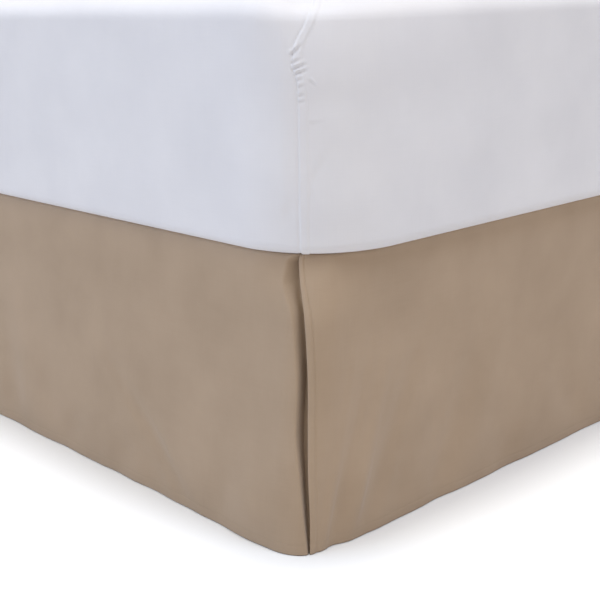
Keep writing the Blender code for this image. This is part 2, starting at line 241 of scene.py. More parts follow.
def dress_node(node, material):
    """Gives a solid that stays its own finish."""
    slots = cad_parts[node].data.materials
    slots.clear()
    slots.append(material)


def rounded_plan(low, high, foot_radius, head_radius, corner_step, straight_step):
    """Points round a rectangle with round corners, anticlockwise seen from above."""
    corners = (
        (low[0] + foot_radius, low[1] + foot_radius, foot_radius, 180),
        (high[0] - foot_radius, low[1] + foot_radius, foot_radius, 270),
        (high[0] - head_radius, high[1] - head_radius, head_radius, 0),
        (low[0] + head_radius, high[1] - head_radius, head_radius, 90),
    )
    points = []
    for number, (x, y, radius, start) in enumerate(corners):
        steps = max(4, round(math.pi / 2 * radius / corner_step))
        turns = np.radians(np.linspace(start, start + 90, steps + 1))
        arc = np.stack([x + radius * np.cos(turns), y + radius * np.sin(turns)], axis=1)
        points.extend(arc)
        next_x, next_y, next_radius, next_start = corners[(number + 1) % len(corners)]
        turn = math.radians(next_start)
        end = np.array([next_x + next_radius * math.cos(turn), next_y + next_radius * math.sin(turn)])
        count = max(1, round(math.dist(arc[-1], end) / straight_step))
        points.extend(arc[-1] + (end - arc[-1]) * step / count for step in range(1, count))
    return np.array(points)


def link_piece(name, mesh, material):
    """A smooth-shaded piece of the bed, on the bed's one body."""
    mesh.materials.append(material)
    mesh.shade_smooth()
    piece = bpy.data.objects.new(name, mesh)
    bpy.context.scene.collection.objects.link(piece)
    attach(piece, "root")
    return piece


def cord_mesh(name, plan, z, radius, sides):
    """A closed cord of round section along a plan outline at one height."""
    way = np.roll(plan, -1, axis=0) - np.roll(plan, 1, axis=0)
    way /= np.linalg.norm(way, axis=1, keepdims=True)
    out = np.stack([way[:, 1], -way[:, 0]], axis=1)
    turns = np.linspace(0, 2 * math.pi, sides, endpoint=False)
    flat = plan[:, None, :] + out[:, None, :] * (radius * np.cos(turns))[None, :, None]
    heights = np.broadcast_to(z + radius * np.sin(turns), flat.shape[:2])
    points = np.concatenate([flat, heights[..., None]], axis=-1)
    index = np.arange(len(plan) * sides).reshape(len(plan), sides)
    after = np.roll(index, -1, axis=0)
    faces = np.stack([index, after, np.roll(after, -1, axis=1), np.roll(index, -1, axis=1)], axis=-1)
    mesh = bpy.data.meshes.new(name)
    mesh.from_pydata(points.reshape(-1, 3).tolist(), [], faces.reshape(-1, 4).tolist())
    return mesh


dress_node("foundation", TICKING)
foundation_low, foundation_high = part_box("foundation")
welt_plan = rounded_plan(
    (foundation_low[0] + WELT_SUNK, foundation_low[1] + WELT_SUNK),
    (foundation_high[0] - WELT_SUNK, foundation_high[1] - WELT_SUNK),
    FOUNDATION_FOOT_RADIUS - WELT_SUNK,
    FOUNDATION_HEAD_RADIUS - WELT_SUNK,
    corner_step=0.006,
    straight_step=0.06,
)
for name, height in (
    ("foundation_top_welt", foundation_high[2] - FOUNDATION_EDGE),
    ("foundation_bottom_welt", foundation_low[2] + FOUNDATION_EDGE),
):
    welt = cord_mesh(name, welt_plan, height, WELT_RADIUS, WELT_SIDES)
    link_piece(name, welt, TICKING)

# ---- Legs ----
# Six turned legs of dark-stained wood, screwed up into the foundation's frame. Their
# solids stay and get the stain, with the grain running down the leg.

LEG_DARK = (0.016, 0.011, 0.008)
LEG_LIGHT = (0.058, 0.038, 0.025)
LEG_GRAIN = (190.0, 190.0, 7.0)  # bands per metre: close together across, long down the leg
LEG_GRAIN_DETAIL = 5.0
LEG_GRAIN_WAVER = 0.5
LEG_GRAIN_STRENGTH = 0.3
LEG_GRAIN_DEPTH = 0.0003
LEG_ROUGHNESS = (0.50, 0.34)  # of the dark grain, and of the light
LEG_COAT = 0.25
LEG_COAT_ROUGHNESS = 0.25

leg_wood, leg_tree, leg_shader = new_material("leg_finish")
leg_shader.inputs["Coat Weight"].default_value = LEG_COAT
leg_shader.inputs["Coat Roughness"].default_value = LEG_COAT_ROUGHNESS
leg_place = add_node(leg_tree, "ShaderNodeTexCoord").outputs["Object"]
leg_noise = noise(leg_tree, drawn_out(leg_tree, leg_place, LEG_GRAIN), 1.0, LEG_GRAIN_DETAIL)
leg_noise.inputs["Distortion"].default_value = LEG_GRAIN_WAVER
leg_grain = leg_noise.outputs["Fac"]
tint(leg_tree, leg_grain, LEG_DARK, LEG_LIGHT, leg_shader)
leg_gloss = between(leg_tree, leg_grain, to_min=LEG_ROUGHNESS[0], to_max=LEG_ROUGHNESS[1])
leg_tree.links.new(leg_gloss, leg_shader.inputs["Roughness"])
emboss(leg_tree, leg_grain, LEG_GRAIN_STRENGTH, LEG_GRAIN_DEPTH, leg_shader)
for row in ("foot", "middle", "head"):
    for side in ("left", "right"):
        dress_node(f"leg_{row}_{side}", leg_wood)

# ---- Bed skirt: the deck ----
# The flat platform cloth that lies on the foundation under the mattress, in the panels'
# own cloth. The three drop panels are sewn to its edge, so it reaches as far as they do.

SKIRT_DARK = (0.438, 0.318, 0.218)
SKIRT_LIGHT = (0.504, 0.370, 0.258)
SKIRT_THREADS = 2400
DECK_CLOTH = 0.0010
DECK_RAISED = 0.0003
DECK_HEAD_RADIUS = 0.012
DECK_FOOT_RADIUS = 0.107
SEAM_ROLL = 0.0050  # the panels' tops turn in over this radius to their seam with the deck
DECK_RINGS = (0.30, 0.10, 0.040, 0.015, 0.004, 0.0)  # insets from the seam

SKIRT_CLOTH = woven_material(
    "skirt_cloth", SKIRT_DARK, SKIRT_LIGHT, SKIRT_THREADS, depth=0.0002, roughness=0.86, sheen=0.2
)


def ease(share):
    """0 to 1, softly at both ends."""
    share = np.clip(share, 0.0, 1.0)
    return share * share * (3 - 2 * share)


def outward_ways(points, closed=False):
    """Unit normals of a grid of points: rows run down the cloth, columns anticlockwise round the bed."""
    down = np.gradient(points, axis=0)
    along = np.gradient(points, axis=1)
    if closed:
        along = (np.roll(points, -1, axis=1) - np.roll(points, 1, axis=1)) / 2
    ways = np.cross(down, along)
    return ways / np.maximum(np.linalg.norm(ways, axis=-1, keepdims=True), 1e-12)


def grid_faces(index):
    """The four-sided faces between a grid's points."""
    face = np.stack([index[:-1, :-1], index[1:, :-1], index[1:, 1:], index[:-1, 1:]], axis=-1)
    return face.reshape(-1, 4)


def cloth_mesh(name, outer, thickness, places, closed=False, filled=False):
    """A thin closed cloth from its outer face's grid of points.

    `places` are the cloth's own metres at each point, for the weave. `closed` joins the
    last column to the first, and `filled` closes the first row with a flat face.
    """
    rows, columns = outer.shape[:2]
    thickness = np.broadcast_to(thickness, (rows, columns))
    inner = outer - outward_ways(outer, closed) * thickness[..., None]
    inside = rows * columns  # what turns an outer point's number into the inner one's
    index = np.arange(rows * columns).reshape(rows, columns)
    if closed:
        index = np.concatenate([index, index[:, :1]], axis=1)
    face = grid_faces(index)
    faces = [face, face[:, ::-1] + inside]
    rims = [index[-1, ::-1]]
    if not filled:
        rims.append(index[0])
    if not closed:
        rims += [index[::-1, 0], index[:, -1]]
    for rim in rims:
        faces.append(np.stack([rim[:-1], rim[1:], rim[1:] + inside, rim[:-1] + inside], axis=-1))
    listed = np.concatenate(faces).tolist()
    if filled:
        first = list(range(columns))
        listed += [first, [number + inside for number in reversed(first)]]
    mesh = bpy.data.meshes.new(name)
    mesh.from_pydata(np.concatenate([outer.reshape(-1, 3), inner.reshape(-1, 3)]).tolist(), [], listed)
    both = np.concatenate([places.reshape(-1, 2)] * 2)
    stored = np.concatenate([both, np.zeros((len(both), 1))], axis=1).astype(np.float32)
    mesh.attributes.new("cloth", "FLOAT_VECTOR", "POINT").data.foreach_set("vector", stored.ravel())
    return mesh


deck_low, deck_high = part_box("skirt_deck")
deck_top = deck_low[2] + DECK_RAISED + DECK_CLOTH
deck_edge = rounded_plan(
    (deck_low[0] + SEAM_ROLL, deck_low[1] + SEAM_ROLL),
    (deck_high[0] - SEAM_ROLL, deck_high[1]),
    DECK_FOOT_RADIUS - SEAM_ROLL,
    DECK_HEAD_RADIUS,
    corner_step=0.004,
    straight_step=0.05,
)
deck_grid = np.full((len(DECK_RINGS), len(deck_edge), 3), deck_top)
for ring, inset in zip(deck_grid, DECK_RINGS):
    ring[:, :2] = deck_edge * (1 - inset / deck_high[0], 1 - inset / deck_high[1])
deck = link_piece(
    "deck_cloth_sheet",
    cloth_mesh("deck_cloth_sheet", deck_grid, DECK_CLOTH, deck_grid[..., :2], closed=True, filled=True),
    SKIRT_CLOTH,
)
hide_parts("skirt_deck")

# ---- Bed skirt: the foot panel ----
# One length of the cloth, sewn to the deck at its top and hemmed below and at both ends.
# At each corner it turns in and hangs behind the side panel's edge, which leaves a slit.

DROP = 0.381
HEM_HEIGHT = 0.001
PANEL_TOP = HEM_HEIGHT + DROP
CLOTH = 0.0009
HEM_CLOTH = 0.0017
HEM_STEP = 0.0012  # over which a hem's doubled cloth thins to one layer
BOTTOM_HEM = 0.0130
UPRIGHT_HEM = 0.0090
STITCH = 0.0022
STITCH_PITCH = 0.0029
LOWEST_STITCH = 0.002  # of an upright line, from the hem's edge, and the highest from the top
HIGHEST_STITCH = 0.006
THREAD_RADIUS = 0.00016
THREAD_SPREAD = 1.3  # its half width, and how far its middle lies off the cloth, in radii
THREAD_LIFT = 0.5
THREAD_FIBRES = 6000
THREAD_LIGHT = (0.47, 0.37, 0.275)
THREAD_DARK = (0.40, 0.31, 0.225)
SKIRT_HEAD_Y = 1.000
TOP_SIDE_X = 0.742
TOP_FOOT_Y = -1.002
TOP_RADIUS = 0.049
HEM_SIDE_X = 0.7375
HEM_FOOT_Y = -1.028
HEM_RADIUS = 0.058
ARC_START = TOP_SIDE_X - TOP_RADIUS
ARC_LENGTH = math.pi / 4 * (TOP_RADIUS + HEM_RADIUS)
ARC_MIDDLE = ARC_START + ARC_LENGTH / 2
ARC_END = ARC_START + ARC_LENGTH
PATH_END = ARC_END + SKIRT_HEAD_Y - (TOP_FOOT_Y + TOP_RADIUS)
WRAP_ANGLE = 92  # where the foot panel's end hangs behind the side panel, and how far behind
WRAP_DEPTH = 0.0032

# The stops between which a panel's columns are evenly spaced: finer towards the slit, and
# finest at an upright hem. The counts run from the foot's middle, and from a side's slit.
FINE_REACH = 0.150
MIDDLE_REACH = 0.700
END_STRIP = 0.012
FOOT_COLUMNS = (60, 51, 10, 10, 10)
SIDE_COLUMNS = (11, 58, 73, 113, 10)

# One row for each height of a split corner. The angles run round the corner from the
# foot, 0, to the side, 90: where the side panel's edge hangs, where the foot panel turns
# in, how far in it goes, and how wide the turn is.
Split = namedtuple("Split", "height edge_angle turn_angle depth turn_width")
SPLITS = (
    Split(height=0.001, edge_angle=54.1, turn_angle=50.1, depth=0.0064, turn_width=0.005),
    Split(height=0.008, edge_angle=53.9, turn_angle=49.0, depth=0.0066, turn_width=0.005),
    Split(height=0.043, edge_angle=52.6, turn_angle=43.7, depth=0.0110, turn_width=0.006),
    Split(height=0.108, edge_angle=47.6, turn_angle=35.0, depth=0.0165, turn_width=0.008),
    Split(height=0.165, edge_angle=45.0, turn_angle=27.6, depth=0.0190, turn_width=0.009),
    Split(height=0.225, edge_angle=42.5, turn_angle=26.3, depth=0.0190, turn_width=0.011),
    Split(height=0.268, edge_angle=39.1, turn_angle=21.0, depth=0.0165, turn_width=0.013),
    Split(height=0.314, edge_angle=33.0, turn_angle=11.5, depth=0.0150, turn_width=0.014),
    Split(height=0.333, edge_angle=26.5, turn_angle=-4.5, depth=0.0155, turn_width=0.014),
    Split(height=0.352, edge_angle=16.4, turn_angle=-14.5, depth=0.0165, turn_width=0.014),
    Split(height=0.372, edge_angle=8.4, turn_angle=-13.0, depth=0.0175, turn_width=0.013),
    Split(height=0.379, edge_angle=7.4, turn_angle=-10.0, depth=0.0085, turn_width=0.010),
    Split(height=0.382, edge_angle=7.4, turn_angle=-6.0, depth=0.0040, turn_width=0.007),
)

# One row for each fold. `place` is its distance from the middle of the corner at the hem,
# `lean` is how far it moves for each metre of height, `rise` is out (+) or in (-), and it
# has died away at the height `top`. The doubled hem lets only a share of it through.
Fold = namedtuple("Fold", "place lean half_width rise top")
HEM_SHARE = 0.30
HEM_HOLDS = 0.060

# Low down, both panels of a corner are drawn in together on the side's half of it. High up
# they are drawn in right round the corner, to the deck's rounder corner.
DRAW_PLACE = 0.042
DRAW_HALF_WIDTH = 0.050
DRAW_DEPTH = 0.0095
DRAW_TOP = 0.220
TUCK_HALF_WIDTH = 0.104
TUCK_DEPTH = 0.024
TUCK_START = 0.300

FOOT_RIGHT_FOLDS = (
    Fold(place=0.095, lean=-0.25, half_width=0.065, rise=0.0110, top=0.15),
    Fold(place=0.200, lean=-0.10, half_width=0.060, rise=0.0040, top=0.12),
    Fold(place=0.300, lean=0.18, half_width=0.055, rise=-0.0075, top=0.15),
    Fold(place=0.215, lean=1.12, half_width=0.034, rise=-0.0050, top=0.24),
    Fold(place=0.395, lean=-0.55, half_width=0.050, rise=-0.0060, top=0.10),
    Fold(place=0.540, lean=-0.50, half_width=0.045, rise=-0.0060, top=0.10),
    Fold(place=0.620, lean=0.30, half_width=0.070, rise=0.0040, top=0.30),
    Fold(place=0.700, lean=0.10, half_width=0.050, rise=-0.0050, top=0.24),
)
FOOT_LEFT_FOLDS = (
    Fold(place=0.086, lean=-0.15, half_width=0.045, rise=0.0090, top=0.18),
    Fold(place=0.200, lean=0.30, half_width=0.060, rise=-0.0056, top=0.28),
    Fold(place=0.360, lean=0.20, half_width=0.080, rise=0.0060, top=0.30),
    Fold(place=0.580, lean=-0.30, half_width=0.090, rise=-0.0060, top=0.32),
)

# The stitches sink a groove, the doubled cloth beside it stands out, and the thread gathers
# both in puckers. Their spacing wanders by some radians, and they come and go.
GROOVE_HALF_WIDTH = 0.0010
BOTTOM_GROOVE = 0.00018
BOTTOM_DOUBLED = 0.00010
UPRIGHT_GROOVE = 0.00110
UPRIGHT_DOUBLED = 0.00060
HEM_PUCKER_HEIGHT = 0.00030
HEM_PUCKER_HALF_WIDTH = 0.0048
HEM_PUCKER_PITCH = 0.0130
HEM_PUCKER_WANDER = ((1.6, 61.0, 0.0), (0.9, 23.0, 2.0))  # (how far, radians per metre, start)
HEM_PUCKER_FADE = (9.7, 0.6)  # (radians per metre, start)
UPRIGHT_SHIFT = 3.1  # along, so that an upright hem's puckers aren't the bottom hem's
EDGE_REACH = 0.0008  # an upright hem's relief dies away over this to a share at its very edge
EDGE_START = 0.2

# Rows down a panel: round its rolled top, below that, evenly from so far below the top to so
# far above the hem's edge, and close together at the hem's line.
ROLL_ROWS = 8
BELOW_ROLL = (0.0015, 0.0035, 0.0065)
PLAIN_ROWS = 60
PLAIN_FROM = 0.017
PLAIN_TO = 0.024
HEM_ROWS = (0.0205, 0.0175, 0.0150, 0.0138, 0.0130, 0.0122, 0.0110, 0.0085, 0.0055, 0.0028, 0.0010, 0.0)
PANEL_HEIGHTS = np.concatenate(
    [
        deck_top - SEAM_ROLL * (1 - np.cos(np.radians(np.linspace(0, 90, ROLL_ROWS)))),
        deck_top - SEAM_ROLL - np.array(BELOW_ROLL),
        np.linspace(PANEL_TOP - PLAIN_FROM, HEM_HEIGHT + PLAIN_TO, PLAIN_ROWS),
        HEM_HEIGHT + np.array(HEM_ROWS),
    ]
)


def through(places, values, at):
    """A smooth line through a few values, with no overshoot between them."""
    places = np.asarray(places, float)
    values = np.asarray(values, float)
    steps = np.diff(places)
    slopes = np.diff(values) / steps
    tangents = np.zeros(len(values))
    tangents[0], tangents[-1] = slopes[0], slopes[-1]
    before, after = slopes[:-1], slopes[1:]
    same = before * after > 0
    tangents[1:-1][same] = (2 * before * after)[same] / (before + after)[same]
    index = np.clip(np.searchsorted(places, at, side="right") - 1, 0, len(steps) - 1)
    share = (at - places[index]) / steps[index]
    left = values[index] + tangents[index] * steps[index] * share * (1 - share) ** 2
    bend = (3 - 2 * share) * share**2
    rise = (values[index + 1] - values[index]) * bend
    return left + rise - tangents[index + 1] * steps[index] * share**2 * (1 - share)


def split_at(heights, column):
    """One of the splits' columns at any heights."""
    heights = np.minimum(heights, SPLITS[-1].height)
    return through([row.height for row in SPLITS], [getattr(row, column) for row in SPLITS], heights)


def along_of(angle):
    """How far along the skirt an angle round the corner is."""
    return ARC_START + ARC_LENGTH * angle / 90


def skirt_points(along, height, out):
    """Points of the skirt's right half, `along` from the middle of the foot to the head end."""
    drop = (PANEL_TOP - height) / DROP
    side_x = TOP_SIDE_X + (HEM_SIDE_X - TOP_SIDE_X) * drop
    foot_y = TOP_FOOT_Y + (HEM_FOOT_Y - TOP_FOOT_Y) * drop
    radius = TOP_RADIUS + (HEM_RADIUS - TOP_RADIUS) * drop
    centre_x = side_x - radius
    centre_y = foot_y + radius
    turn = math.pi / 2 * np.clip((along - ARC_START) / ARC_LENGTH, 0, 1)
    foot_share = np.minimum(along / ARC_START, 1)
    side_share = np.clip((along - ARC_END) / (PATH_END - ARC_END), 0, 1)
    reach = radius + out
    x = centre_x * foot_share + reach * np.sin(turn)
    y = centre_y - reach * np.cos(turn) + (SKIRT_HEAD_Y - centre_y) * side_share
    return np.stack([x, y, height], axis=-1)


def swell(off):
    """1 where `off` is 0, falling softly to 0 where it is 1 or more either way."""
    return (1 + np.cos(math.pi * np.clip(off, -1, 1))) / 2


def folds_out(folds, place, height):
    """How far the folds push the cloth out at a distance from the corner's middle."""
    total = np.zeros(np.broadcast(place, height).shape)
    loose = HEM_SHARE + (1 - HEM_SHARE) * ease(height / HEM_HOLDS)
    for fold in folds:
        off = (place - fold.place - fold.lean * height) / fold.half_width
        total += fold.rise * loose * (1 - ease(height / fold.top)) * swell(off)
    return total


def corner_draw(place, height):
    """How far both panels are drawn in, at a distance from the corner's middle towards the side."""
    low = DRAW_DEPTH * (1 - ease(height / DRAW_TOP)) * swell((place - DRAW_PLACE) / DRAW_HALF_WIDTH)
    high = TUCK_DEPTH * ease((height - TUCK_START) / (PANEL_TOP - TUCK_START))
    return low + high * swell(place / TUCK_HALF_WIDTH)


def stitched_hem(distance, along, width, groove_depth, doubled_rise):
    """The relief across a turned hem: the stitch line's groove, its puckers, and the doubled cloth."""
    past = distance - width
    groove = -groove_depth * np.exp(-((past / GROOVE_HALF_WIDTH) ** 2))
    doubled = doubled_rise * (1 - ease((past + HEM_STEP) / (2 * HEM_STEP)))
    wander = sum(far * np.sin(along * rate + start) for far, rate, start in HEM_PUCKER_WANDER)
    rate, start = HEM_PUCKER_FADE
    pucker = np.sin(along * 2 * math.pi / HEM_PUCKER_PITCH + wander) * np.sin(along * rate + start) ** 2
    spread = np.exp(-((past / HEM_PUCKER_HALF_WIDTH) ** 2))
    return groove + doubled + HEM_PUCKER_HEIGHT * pucker * spread


def hem_relief(along, height, upright=()):
    """The bottom hem and any upright hems, given as distances from their edges."""
    out = stitched_hem(height - HEM_HEIGHT, along, BOTTOM_HEM, BOTTOM_GROOVE, BOTTOM_DOUBLED)
    for distance in upright:
        hem = stitched_hem(distance, height + UPRIGHT_SHIFT, UPRIGHT_HEM, UPRIGHT_GROOVE, UPRIGHT_DOUBLED)
        out = out + hem * ease(distance / EDGE_REACH + EDGE_START)
    return out


def top_roll(height):
    """How far the panel's top rolls in to its seam with the deck."""
    share = np.clip((height - (deck_top - SEAM_ROLL)) / SEAM_ROLL, 0, 1)
    return SEAM_ROLL * (1 - np.sqrt(1 - share**2))


def hem_thickness(height, upright=()):
    """One layer of cloth, and three close ones in a hem."""
    hemmed = 1 - ease((height - HEM_HEIGHT - BOTTOM_HEM) / HEM_STEP + 0.5)
    for distance in upright:
        hemmed = np.maximum(hemmed, 1 - ease((distance - UPRIGHT_HEM) / HEM_STEP + 0.5))
    return CLOTH + (HEM_CLOTH - CLOTH) * hemmed


def foot_half(along, height, folds):
    """One half of the foot panel, as if on the bed's right: points, and the distance from its end."""
    turn = along_of(split_at(height, "turn_angle"))
    width = split_at(height, "turn_width")
    depth = split_at(height, "depth")
    end = along_of(WRAP_ANGLE)
    inward = depth * ease((along - turn) / width)
    behind = ease((along - turn - width) / (end - turn - width))
    inward = inward + (WRAP_DEPTH - depth) * behind
    place = ARC_MIDDLE - along
    out = folds_out(folds, place, height) * (place > 0)
    out = out + hem_relief(along, height, [end - along]) - top_roll(height)
    out = out - inward - corner_draw(along - ARC_MIDDLE, height)
    return skirt_points(along, height, out), end - along


def columns_through(stops, counts):
    """Columns at each height from the first stop to the last, so many from each to the next."""
    parts = [np.broadcast_to(stops[0], (len(PANEL_HEIGHTS), 1))]
    for start, stop, count in zip(stops, stops[1:], counts):
        columns = start + (stop - start) * np.arange(1, count + 1) / count
        parts.append(np.broadcast_to(columns, (len(PANEL_HEIGHTS), count)))
    return np.concatenate(parts, axis=1)


turn = along_of(split_at(PANEL_HEIGHTS, "turn_angle"))[:, None]
turned = turn + split_at(PANEL_HEIGHTS, "turn_width")[:, None]
foot_end = along_of(WRAP_ANGLE)
foot_stops = (0.0, ARC_START - FINE_REACH, turn, turned, foot_end - END_STRIP, foot_end)
right_along = columns_through(foot_stops, FOOT_COLUMNS)
heights = np.broadcast_to(PANEL_HEIGHTS[:, None], right_along.shape)
right_half, right_ends = foot_half(right_along, heights, FOOT_RIGHT_FOLDS)
left_half, left_ends = foot_half(right_along, heights, FOOT_LEFT_FOLDS)
left_half = left_half * (-1, 1, 1)
foot_grid = np.concatenate([left_half[:, :0:-1], right_half], axis=1)
foot_along = np.concatenate([-right_along[:, :0:-1], right_along], axis=1)
foot_ends = np.concatenate([left_ends[:, :0:-1], right_ends], axis=1)
foot_heights = np.broadcast_to(PANEL_HEIGHTS[:, None], foot_along.shape)
foot_panel = link_piece(
    "foot_panel_cloth",
    cloth_mesh(
        "foot_panel_cloth",
        foot_grid,
        hem_thickness(foot_heights, [foot_ends]),
        np.stack([foot_along, foot_heights], axis=-1),
    ),
    SKIRT_CLOTH,
)
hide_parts("skirt_foot_panel")


def stitch_mesh(name, lines):
    """Lock stitches, each a small spindle of thread lying on the cloth.

    Each line is (starts, ends, ways out of the cloth).
    """
    starts, ends, ways = (np.concatenate(part) for part in zip(*lines))
    across = np.cross(ends - starts, ways)
    across /= np.linalg.norm(across, axis=1, keepdims=True)
    middle = (starts + ends) / 2
    side, out = across * THREAD_RADIUS * THREAD_SPREAD, ways * THREAD_RADIUS
    points = np.stack([starts, middle + side, middle + out, middle - side, middle - out, ends], axis=1)
    shape = [(0, k, k % 4 + 1) for k in range(1, 5)] + [(5, k % 4 + 1, k) for k in range(1, 5)]
    faces = np.arange(len(starts))[:, None, None] * 6 + np.array(shape)[None]
    mesh = bpy.data.meshes.new(name)
    mesh.from_pydata(points.reshape(-1, 3).tolist(), [], faces.reshape(-1, 3).tolist())
    return mesh


def stitch_line(surface, along, height, step_along, step_height, mirror):
    """One line of stitches on a panel, from its surface function."""
    start, _ = surface(along, height)
    end, _ = surface(along + step_along, height + step_height)
    way = skirt_points(along, height, 1.0) - skirt_points(along, height, 0.0)
    lift = way * THREAD_RADIUS * THREAD_LIFT
    flip = (mirror, 1, 1)
    return (start + lift) * flip, (end + lift) * flip, way * flip


THREAD = woven_material(
    "sewing_thread",
    THREAD_DARK,
    THREAD_LIGHT,
    THREAD_FIBRES,
    depth=0.00005,
    roughness=0.6,
    sheen=0.1,
    place="solid",
)

foot_lines = []
up = np.arange(HEM_HEIGHT + LOWEST_STITCH, PANEL_TOP - HIGHEST_STITCH, STITCH_PITCH)
across = np.arange(0.0, foot_end - UPRIGHT_HEM, STITCH_PITCH)
hem_line = np.full_like(across, HEM_HEIGHT + BOTTOM_HEM)
end_line = np.full_like(up, foot_end - UPRIGHT_HEM)
for folds, mirror in ((FOOT_LEFT_FOLDS, -1), (FOOT_RIGHT_FOLDS, 1)):
    surface = functools.partial(foot_half, folds=folds)
    foot_lines.append(stitch_line(surface, across, hem_line, STITCH, 0.0, mirror))
    foot_lines.append(stitch_line(surface, end_line, up, 0.0, STITCH, mirror))
foot_stitching = link_piece(
    "foot_panel_stitching", stitch_mesh("foot_panel_stitching", foot_lines), THREAD
)

# ---- Bed skirt: the two side panels ----
# One length of the cloth for each side, sewn to the deck from the head end to the corner.
# Its front edge has a narrow upright hem and hangs free over the foot panel's turned end.

RIGHT_FOLDS = (
    Fold(place=0.018, lean=0.08, half_width=0.010, rise=-0.0010, top=0.34),
    Fold(place=0.028, lean=0.15, half_width=0.012, rise=0.0030, top=0.34),
    Fold(place=0.044, lean=0.19, half_width=0.014, rise=-0.0034, top=0.34),
    Fold(place=0.066, lean=0.27, half_width=0.020, rise=0.0048, top=0.34),
    Fold(place=0.095, lean=0.38, half_width=0.032, rise=-0.0060, top=0.34),
    Fold(place=0.230, lean=0.00, half_width=0.150, rise=-0.0080, top=0.30),
    Fold(place=0.200, lean=0.00, half_width=0.045, rise=0.0034, top=0.26),
    Fold(place=0.245, lean=0.30, half_width=0.036, rise=-0.0046, top=0.30),
    Fold(place=0.300, lean=0.32, half_width=0.040, rise=0.0028, top=0.30),
    Fold(place=0.403, lean=-0.20, half_width=0.060, rise=-0.0080, top=0.12),
    Fold(place=0.600, lean=-0.59, half_width=0.060, rise=-0.0050, top=0.20),
    Fold(place=0.860, lean=0.10, half_width=0.120, rise=0.0070, top=0.34),
    Fold(place=1.220, lean=-0.20, half_width=0.110, rise=-0.0070, top=0.32),
    Fold(place=1.560, lean=0.20, half_width=0.130, rise=0.0064, top=0.34),
    Fold(place=1.860, lean=0.10, half_width=0.060, rise=0.0046, top=0.30),
)
LEFT_FOLDS = (
    Fold(place=0.030, lean=0.12, half_width=0.011, rise=-0.0018, top=0.30),
    Fold(place=0.058, lean=0.18, half_width=0.014, rise=0.0030, top=0.28),
    Fold(place=0.098, lean=0.28, half_width=0.024, rise=-0.0042, top=0.33),
    Fold(place=0.190, lean=0.20, half_width=0.045, rise=0.0042, top=0.30),
    Fold(place=0.430, lean=0.40, half_width=0.080, rise=-0.0070, top=0.34),
    Fold(place=0.760, lean=-0.20, half_width=0.110, rise=0.0070, top=0.34),
    Fold(place=1.130, lean=0.25, half_width=0.100, rise=-0.0066, top=0.32),
    Fold(place=1.500, lean=-0.10, half_width=0.120, rise=0.0070, top=0.34),
    Fold(place=1.800, lean=0.10, half_width=0.070, rise=-0.0046, top=0.30),
)


def side_surface(along, height, folds):
    """A side panel, as if on the bed's right: points, and the distances from its two ends."""
    edge = along_of(split_at(height, "edge_angle"))
    ends = [along - edge, PATH_END - along]
    out = folds_out(folds, along - ARC_MIDDLE, height) - corner_draw(along - ARC_MIDDLE, height)
    out = out + hem_relief(along, height, ends) - top_roll(height)
    return skirt_points(along, height, out), ends


slit_edge = along_of(split_at(PANEL_HEIGHTS, "edge_angle"))[:, None]
near, far = ARC_END + FINE_REACH, ARC_END + MIDDLE_REACH
side_stops = (slit_edge, slit_edge + END_STRIP, near, far, PATH_END - END_STRIP, PATH_END)
side_along = columns_through(side_stops, SIDE_COLUMNS)
side_heights = np.broadcast_to(PANEL_HEIGHTS[:, None], side_along.shape)
hem_start = float(along_of(split_at(HEM_HEIGHT + BOTTOM_HEM, "edge_angle"))) + UPRIGHT_HEM
across = np.arange(hem_start, PATH_END - UPRIGHT_HEM, STITCH_PITCH)
hem_line = np.full_like(across, HEM_HEIGHT + BOTTOM_HEM)
head_line = np.full_like(up, PATH_END - UPRIGHT_HEM)
front_line = along_of(split_at(up, "edge_angle")) + UPRIGHT_HEM
front_step = along_of(split_at(up + STITCH, "edge_angle")) + UPRIGHT_HEM - front_line
for side, folds, mirror in (("left", LEFT_FOLDS, -1), ("right", RIGHT_FOLDS, 1)):
    points, ends = side_surface(side_along, side_heights, folds)
    layers = hem_thickness(side_heights, ends)
    places = np.stack([side_along, side_heights], axis=-1)
    if mirror < 0:
        points, layers, places = (points * (-1, 1, 1))[:, ::-1], layers[:, ::-1], places[:, ::-1]
    name = f"{side}_panel_cloth"
    panel = link_piece(name, cloth_mesh(name, points, layers, places), SKIRT_CLOTH)
    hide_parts(f"skirt_{side}_panel")
    surface = functools.partial(side_surface, folds=folds)
    lines = [
        stitch_line(surface, across, hem_line, STITCH, 0.0, mirror),
        stitch_line(surface, front_line, up, front_step, STITCH, mirror),
        stitch_line(surface, head_line, up, 0.0, STITCH, mirror),
    ]
    name = f"{side}_panel_stitching"
    stitching = link_piece(name, stitch_mesh(name, lines), THREAD)

# ---- Mattress ----
# A queen mattress in a knitted cover, quilted to a thin layer of padding. Its soft corners
# give way under the tight sheet, and its upright edge shows through as a ridge.

COVER_DARK = (0.60, 0.59, 0.56)
COVER_LIGHT = (0.72, 0.71, 0.68)
COVER_THREADS = 700
COVER_UNDER = 0.0013  # how far it lies inside the sheet's face, and by the corner seams:
COVER_UNDER_SEAM = 0.0034
COVER_SEAM_REACH = 0.060
MATTRESS_TOP = 0.691
CORNER_RADIUS = 0.142
BOTTOM_EDGE = 0.016  # its radius along the sides, and at the corners:
CORNER_BOTTOM_EDGE = 0.013
CORNER_EDGE_REACH = 0.08
BOTTOM_EDGE_ROWS = 8
TOP_EDGE = 0.028
TOP_EDGE_ROWS = 10
CROWN = 0.004
CROWN_INSETS = (0.120, 0.098, 0.078, 0.062, 0.048, 0.037)  # rings of the crown, from the wall
TOP_SHARES = (0.20, 0.42, 0.62, 0.78, 0.88, 0.95)  # rings within them, out from the middle
TOP_REACH = 0.5  # about how far the top's middle is from the crown
UNDERSIDE = 0.130  # how far the sheet turns in underneath, in rings at these shares:
